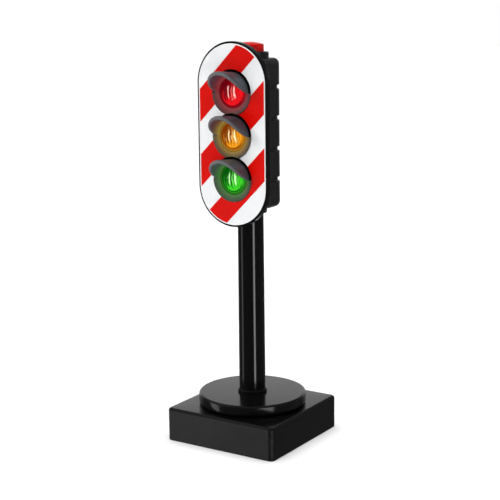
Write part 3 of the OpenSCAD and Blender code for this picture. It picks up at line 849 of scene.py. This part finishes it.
def make_housing():
    """Shell, socket, button collar, screw bosses and the door's opening."""
    piece = housing_shell("rear_case")
    collar_foot = HOUSE_TOP - HOUSE_WALL
    web_half = HOUSE_HALF_W - 0.9
    knuckle_end = KNUCKLE_HALF + DOOR_GAP
    combine(piece, [
        rod("socket", "Z", SOCKET_FOOT, mast_high.z, SOCKET_R, (0, 0), 128, 0.35),
        rod("collar", "Z", collar_foot, BUTTON_COLLAR_TOP, BUTTON_COLLAR_R, (0, 0), 128, 0.35),
        *[rod("boss", "Y", 3.85, INNER_BACK + 0.3, BOSS_R, (0, z)) for z in POST_Z],
        block("web", (-web_half, 3.9, DOOR_SCREW_Z - 1.8), (web_half, 5.1, DOOR_SCREW_Z + 1.8)),
        rod("screw_boss", "Y", 3.9, 6.2, 1.8, (0, DOOR_SCREW_Z)),
    ], "UNION")
    hinge = (HINGE_Y, HINGE_Z)
    combine(piece, [
        rod("mast_hole", "Z", SOCKET_FOOT - 1, mast_high.z + 1, MAST_TOP_R + SLIP, (0, 0), 128),
        rod("button_hole", "Z", collar_foot - 1, BUTTON_COLLAR_TOP + 1, BUTTON_R + RUNNING, (0, 0), 128),
        *[rod("shank_hole", "Y", 0, BEHIND, SCREW_R + 0.15, (0, z), 32) for z in POST_Z],
        *[rod("head_hole", "Y", HOUSE_BACK - 1.5, BEHIND, 1.55, (0, z), 48) for z in POST_Z],
        rod("door_screw_hole", "Y", 0, BEHIND, 1.1, (0, DOOR_SCREW_Z), 32),
        door_region(DOOR_GAP, 0.95),
        rod("knuckle_hole", "X", -knuckle_end, knuckle_end, KNUCKLE_R + 0.12, hinge, 48),
        rod("pin_hole", "X", -PIN_HALF - 0.1, PIN_HALF + 0.1, PIN_R + RUNNING, hinge, 32),
    ], "DIFFERENCE")
    soften(piece, 0.12, 45)
    finish_piece(piece, "signal", satin_black, "satin_black", "rear_housing")


def make_door():
    """The part of the housing's rear wall that swings out, with its knuckle and pin."""
    piece = housing_shell("battery_cover")
    combine(piece, [door_region(0, 1.15)], "INTERSECT")
    hinge = (HINGE_Y, HINGE_Z)
    combine(piece, [rod("knuckle", "X", -KNUCKLE_HALF, KNUCKLE_HALF, KNUCKLE_R, hinge, 48),
                    rod("pin", "X", -PIN_HALF, PIN_HALF, PIN_R, hinge, 32)], "UNION")
    combine(piece, [rod("hole", "Y", 0, BEHIND, 0.8 + SLIP, (0, DOOR_SCREW_Z), 32),
                    rod("seat", "Y", HOUSE_BACK - 0.8, BEHIND, 1.5 + SLIP, (0, DOOR_SCREW_Z), 48)],
            "DIFFERENCE")
    soften(piece, 0.1, 45)
    finish_piece(piece, "door", satin_black, "satin_black", "battery_door")


# ---- Backboard ----


def stadium_ring(inset, y, steps=72):
    """The backboard's outline, drawn in by inset, at depth y."""
    radius = BOARD_HALF_W - inset
    reach = BOARD_HALF_H - BOARD_HALF_W
    ring = []
    for end in (1, -1):
        for k in range(steps + 1):
            a = math.radians(180) * k / steps + (0 if end == 1 else math.pi)
            ring.append((radius * math.cos(a), y, BOARD_Z + end * reach + radius * math.sin(a)))
    return ring


def make_backboard():
    """The oval board with pockets for the lights, a spigot into the housing and two screw posts."""
    edge = rounded([(2, BOARD_FRONT, 0), (0, BOARD_FRONT, BOARD_EDGE_R), (0, BOARD_BACK, BOARD_EDGE_R),
                    (2, BOARD_BACK, 0)], closed=False)
    bm = bmesh.new()
    add_grid(bm, [stadium_ring(inset, y) for inset, y in edge], close_across=False, caps=True)
    piece = new_piece("backboard", bm)
    half_w = HOUSE_HALF_W - HOUSE_WALL - 0.1
    half_h = HOUSE_HALF_H - HOUSE_WALL - 0.1
    spigot_back = BOARD_BACK + 2
    combine(piece, [block("spigot", (-half_w, BOARD_BACK - 0.5, HOUSE_MID - half_h),
                          (half_w, spigot_back, HOUSE_MID + half_h)),
                    *[rod("post", "Y", BOARD_BACK, board_high.y, POST_R, (0, z)) for z in POST_Z]], "UNION")
    before, pocket_floor = BOARD_FRONT - 1, BEZEL_BACK + SLIP
    cuts = []
    for z in LIGHT_Z.values():
        cuts.append(rod("pocket", "Y", before, pocket_floor, POCKET_R, (0, z), 160))
        cuts.append(rod("lens_seat", "Y", before, pocket_floor + 0.82, LENS_FLANGE_R + SLIP, (0, z), 96))
        cuts.append(rod("lamp_hole", "Y", before, spigot_back + 1, 2.0, (0, z)))
    cuts += [rod("screw_hole", "Y", -2, board_high.y + 1, SCREW_R, (0, z), 32) for z in POST_Z]
    combine(piece, cuts, "DIFFERENCE")
    even_shading(piece)
    finish_piece(piece, "signal", gloss_black, "gloss_black", "front_plate")


# ---- Lights ----


def make_bezel():
    """Three merged rings: a dished face below each lens and a deep groove round its upper half."""
    piece = None
    for z in LIGHT_Z.values():
        ring = rod("lamp_rings", "Y", BEZEL_FRONT, BEZEL_BACK, BEZEL_R, (0, z), 224, 0.18)
        piece = ring if piece is None else combine(piece, [ring], "UNION")
    before, behind = BEZEL_FRONT - 1, BEZEL_BACK + 1
    mouth_r = LENS_R + 0.05
    dish = rounded([(0, before, 0), (BEZEL_R - 0.1, before, 0), (BEZEL_R - 0.4, BEZEL_FRONT, 0.3),
                    (LENS_R + 0.12, BEZEL_FRONT + 0.85, 0.15), (mouth_r, BEZEL_FRONT + 1.0, 0),
                    (mouth_r, behind, 0), (0, behind, 0)])
    cuts = [lathe("dish", dish, "Y", (0, z), 224) for z in LIGHT_Z.values()]
    inner = VISOR_R - VISOR_WALL - SLIP
    groove = [(inner, before), (POCKET_R, before), (POCKET_R, BEZEL_FLOOR), (inner, BEZEL_FLOOR)]
    for z in LIGHT_Z.values():
        bm = bmesh.new()
        add_grid(bm, lathe_rings(groove, "Y", (0, z), 112, (0, 180)), close_across=False, caps=True)
        cuts.append(new_piece("groove", bm))
    combine(piece, cuts, "DIFFERENCE")
    soften(piece, 0.05, 50)
    finish_piece(piece, "signal", bezel_grey, "visor_grey", "lamp_bezel")


# The visor's mouth is cut by a round of radius CUT_R about an axis along X.
CUT_R = 12.8
CUT_BACK = 3.8
CUT_UP = 12.2


def visor_reach(height):
    """How far the visor stands out at a height above the light's centre."""
    return math.sqrt(max(CUT_R ** 2 - (CUT_UP - height) ** 2, 0)) - CUT_BACK


def make_visor(name):
    """The upper half of a tube with a rounded lip, cut off along a curve and tilted up a little."""
    lip = VISOR_WALL / 2
    inner = VISOR_R - VISOR_WALL
    root = BEZEL_FLOOR - SLIP
    lip_steps, wall_steps, steps = 8, 10, 128
    rings = []
    for i in range(steps + 1):
        a = math.pi * i / steps
        mouth = SHEET_FRONT - max(visor_reach(VISOR_R * math.sin(a)), 0.35)
        wall = [root + (mouth + lip - root) * k / wall_steps for k in range(wall_steps + 1)]
        loop = [(VISOR_R, y) for y in wall]
        for k in range(1, lip_steps):
            b = math.pi * k / lip_steps
            loop.append((VISOR_R - lip + lip * math.cos(b), mouth + lip - lip * 0.8 * math.sin(b)))
        loop += [(inner, y) for y in reversed(wall)]
        ring = []
        for r, y in loop:
            lift = r + math.tan(VISOR_TILT) * max(SHEET_FRONT - y, 0)
            ring.append((r * math.cos(a), y, LIGHT_Z[name] + lift * math.sin(a)))
        rings.append(ring)
    bm = bmesh.new()
    add_grid(bm, rings, close_across=False, caps=True)
    piece = new_piece(name + "_hood", bm, 50)
    finish_piece(piece, "signal", visor_grey, "visor_grey", name + "_visor")


RIB_PITCH = 1.95
RIB_DEPTH = 0.05
RIBBED_R = 4.0


def make_lens(name):
    """A shallow ribbed dome on a barrel, with a flange behind."""
    flange_back = box_mm(name + "_lens")[1].y
    dome_h = LENS_RIM - LENS_FRONT
    dome_r = (LENS_R ** 2 + dome_h ** 2) / (2 * dome_h)
    rows = 44
    face = []
    for k in range(rows + 1):
        r = LENS_R * (1 - 0.012) * k / rows
        face.append((r, LENS_FRONT + dome_r - math.sqrt(dome_r ** 2 - r ** 2)))
    flange_front = BEZEL_BACK + SLIP
    bore_end = LENS_RIM + 0.5
    back = [(LENS_R, LENS_RIM + 0.08), (LENS_R, flange_front), (LENS_FLANGE_R, flange_front),
            (LENS_FLANGE_R, flange_back), (LENS_BORE_R, flange_back), (LENS_BORE_R, bore_end), (0, bore_end)]
    rings = lathe_rings(face + back, "Y", (0, LIGHT_Z[name]))
    ribbed = []
    for ring in rings:
        out = []
        for k, (x, y, z) in enumerate(ring):
            if k <= rows:
                reach = math.hypot(x, z - LIGHT_Z[name])
                fade = max(0.0, min(1.0, (RIBBED_R - reach) / 0.5))
                y += RIB_DEPTH * fade * (1 - math.cos(2 * math.pi * (x + 0.85) / RIB_PITCH))
            out.append((x, y, z))
        ribbed.append(out)
    bm = bmesh.new()
    add_grid(bm, ribbed)
    drop_empty_faces(bm)
    piece = new_piece(name + "_light", bm, 50)
    finish_piece(piece, "signal", lens_shaders[name], name + "_lens", name + "_lens")


def make_button():
    low, high = box_mm("push_button")
    flange_top = HOUSE_TOP - HOUSE_WALL - 0.1
    flange_foot = flange_top - 1
    shoulder = high.z - BUTTON_DOME
    crown = BUTTON_R - 0.55
    dome_r = (crown ** 2 + BUTTON_DOME ** 2) / (2 * BUTTON_DOME)
    dome = []
    for k in range(24, -1, -1):
        r = crown * k / 24
        dome.append((r, high.z - dome_r + math.sqrt(dome_r ** 2 - r ** 2)))
    side = rounded([(0, low.z, 0), (BUTTON_STEM_R, low.z, 0.15), (BUTTON_STEM_R, flange_foot, 0.1),
                    (BUTTON_FLANGE_R, flange_foot, 0.15), (BUTTON_FLANGE_R, flange_top, 0.15),
                    (BUTTON_R, flange_top, 0.1), (BUTTON_R, shoulder, 0.5), dome[0] + (0,)], closed=False)
    piece = lathe("button_cap", side + dome[1:])
    even_shading(piece)
    finish_piece(piece, "button", red_gloss, "red_plastic", "push_button")


def make_spring():
    """The button's return spring. It stands on the switch."""
    low, high = box_mm("button_spring")
    coil_r = high.x - SPRING_WIRE_R
    rise = high.z - low.z - 2 * SPRING_WIRE_R
    per_turn, around = 32, 10
    steps = per_turn * SPRING_TURNS
    rings = []
    for i in range(steps + 1):
        a = 2 * math.pi * i / per_turn
        z = low.z + SPRING_WIRE_R + rise * i / steps
        ring = []
        for k in range(around):
            b = 2 * math.pi * k / around
            r = coil_r + SPRING_WIRE_R * math.cos(b)
            ring.append((r * math.cos(a), r * math.sin(a), z + SPRING_WIRE_R * math.sin(b)))
        rings.append(ring)
    bm = bmesh.new()
    add_grid(bm, rings, close_across=False, caps=True)
    piece = new_piece("return_spring", bm, 70)
    finish_piece(piece, "signal", spring_wire, "spring_wire", "button_spring")
    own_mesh(piece)


make_base_block()
make_turntable()
make_mast()
make_housing()
make_door()
make_backboard()
make_bezel()
for light in LIGHT_Z:
    make_visor(light)
    make_lens(light)
make_button()
make_spring()


# ---- Stage, lights and camera ----


def make_floor():
    """A plain pale floor. It shows in no reflection, so that the gloss mirrors the studio round it,
    and it casts no shadow."""
    bm = bmesh.new()
    bmesh.ops.create_grid(bm, x_segments=1, y_segments=1, size=3000)
    piece = new_piece("floor", bm)
    piece.visible_glossy = False
    piece.visible_shadow = False
    s = new_material("floor")
    s.set(Base_Color=s.blend(s.noise(40, 3), (0.88, 0.88, 0.88), (0.92, 0.92, 0.92)))
    s.set(Roughness=0.85, IOR=1.3)
    piece.data.materials.append(s.owner)


def aim_from(azimuth, elevation):
    """The direction in which a light or the camera stands: azimuth from the front towards +X."""
    a, e = math.radians(azimuth), math.radians(elevation)
    return Vector((math.sin(a) * math.cos(e), -math.cos(a) * math.cos(e), math.sin(e)))


DIM = 0.05
WALL_LIGHT = 0.98
WALL_ROUND = 0.13
# Direction, the two cosines between which the light rises, and strength.
SOFT_LIGHTS = (
    ((0.0, 0.0, 1.0), 0.55, 0.9, 0.14),
    (aim_from(-50, 30), 0.75, 0.95, 0.15),
    (aim_from(112, -12), 0.6, 0.95, 0.03),
)


def make_world():
    """A dim studio with a pale wall behind and a soft glow overhead. The camera sees plain white."""
    world = bpy.data.worlds.new("studio")
    bpy.context.scene.world = world
    s = Shader(world, "Background", "Generated")

    def glow(direction, start, end, strength, rest=0.0):
        """Rises from rest to strength as the view turns towards a direction."""
        dot = s.new("VectorMath")
        dot.operation = "DOT_PRODUCT"
        dot.inputs[1].default_value = Vector(direction).normalized()
        s.put(s.place, dot.inputs[0])
        return s.ramp(dot.outputs["Value"], start, end, rest, strength, "SMOOTHSTEP")

    wall = glow((-0.545, 0.839, 0.0), 0.55, 0.9, WALL_LIGHT, WALL_ROUND)
    wall_top = glow((0, 0, -1), -0.36, -0.25, 1.0, 0.3)
    wall_foot = glow((0, 0, 1), 0.0, 0.08, 1.0, 0.1)
    total = s.times(wall, s.times(wall_top, wall_foot))
    for soft_light in SOFT_LIGHTS:
        total = s.plus(total, glow(*soft_light))
    total = s.plus(total, DIM)
    to_camera = s.new("LightPath").outputs["Is Camera Ray"]
    s.set(Color=(1.0, 1.0, 1.0), Strength=s.new("Mix", Factor=to_camera, A=total, B=1.0).outputs["Result"])


def link_light(light_object, pieces, state):
    """Has a light fall on these pieces only (INCLUDE), or on all but these (EXCLUDE)."""
    receivers = bpy.data.collections.new(light_object.name + "_receivers")
    for piece in pieces:
        receivers.objects.link(bpy.data.objects[piece])
    for member in receivers.collection_objects:
        member.light_linking.link_state = state
    light_object.light_linking.receiver_collection = receivers


def make_sun(name, azimuth, elevation, angle, strength, linked=(), state="INCLUDE"):
    """Soft light from far off. The studio's pale panels, not this, show in the gloss."""
    data = bpy.data.lights.new(name, "SUN")
    data.energy = strength
    data.angle = math.radians(angle)
    light_object = bpy.data.objects.new(name, data)
    light_object.rotation_euler = (-aim_from(azimuth, elevation)).to_track_quat("-Z", "Y").to_euler()
    light_object.visible_glossy = False
    bpy.context.scene.collection.objects.link(light_object)
    if linked:
        link_light(light_object, linked, state)


def make_strip(name, azimuth, width, low, high, radiance, lit):
    """A tall soft box that stands at a distance, faces the mast and lights only some pieces."""
    data = bpy.data.lights.new(name, "AREA")
    data.shape = "RECTANGLE"
    data.size, data.size_y = width * MM, (high - low) * MM
    data.energy = radiance * math.pi * data.size * data.size_y
    light_object = bpy.data.objects.new(name, data)
    place = aim_from(azimuth, 0) * STRIP_DISTANCE
    place.z = (low + high) / 2
    light_object.location = place * MM
    light_object.rotation_euler = (-aim_from(azimuth, 0)).to_track_quat("-Z", "Y").to_euler()
    bpy.context.scene.collection.objects.link(light_object)
    link_light(light_object, lit, "INCLUDE")


STRIP_DISTANCE = 600
SHELLS = ("base_block", "rear_case", "battery_cover", "backboard")
# Name, azimuth, width, foot, top, radiance and the pieces lit.
STRIPS = (
    ("mast_strip_right", 58, 150, -220, 60, 5.6, ("mast_tube",)),
    ("mast_strip_left", -55, 150, -220, 60, 1.15, ("mast_tube",)),
    ("disc_strip_right", 62, 320, -500, 60, 2.2, ("turntable",)),
    ("disc_strip_left", -55, 240, -500, 60, 1.3, ("turntable",)),
    ("base_panel", -40, 420, -260, -20, 0.74, ("base_block",)),
    ("back_panel", 207, 540, -320, 160, 0.6, SHELLS),
    ("left_panel", -95, 400, -320, 160, 0.5, SHELLS),
    ("right_panel", 76, 200, -320, 160, 0.25, SHELLS),
)

CAMERA_AZIMUTH = 33.03
CAMERA_ELEVATION = 11.25
CAMERA_ROLL = math.radians(-0.63)
CAMERA_DISTANCE = 413.3
CAMERA_RIGHT = -0.32
CAMERA_UP = 59.76
CAMERA_LENS = 90.77


def make_camera():
    """Stands to the object's right, a little higher than its top, and looks slightly down."""
    back = aim_from(CAMERA_AZIMUTH, CAMERA_ELEVATION)
    right = aim_from(CAMERA_AZIMUTH + 90, 0)
    up = back.cross(right)
    data = bpy.data.cameras.new("camera")
    data.lens = CAMERA_LENS
    data.clip_start, data.clip_end = 0.01, 20
    camera = bpy.data.objects.new("camera", data)
    bpy.context.scene.collection.objects.link(camera)
    place = (back * CAMERA_DISTANCE + right * CAMERA_RIGHT + up * CAMERA_UP) * MM
    turned_right = right * math.cos(CAMERA_ROLL) + up * math.sin(CAMERA_ROLL)
    turned_up = up * math.cos(CAMERA_ROLL) - right * math.sin(CAMERA_ROLL)
    axes = Matrix((turned_right, turned_up, back)).transposed().to_4x4()
    camera.matrix_world = Matrix.Translation(place) @ axes
    bpy.context.scene.camera = camera


make_floor()
make_world()
make_sun("key", -42, 34, 24, 2.05, ("floor",), "EXCLUDE")
make_sun("top", 0, 86, 60, 1.2)
make_sun("floor_light", 0, 88, 70, 2.4, ("floor",))
for strip in STRIPS:
    make_strip(*strip)
make_camera()
bpy.context.scene.view_settings.view_transform = "Standard"
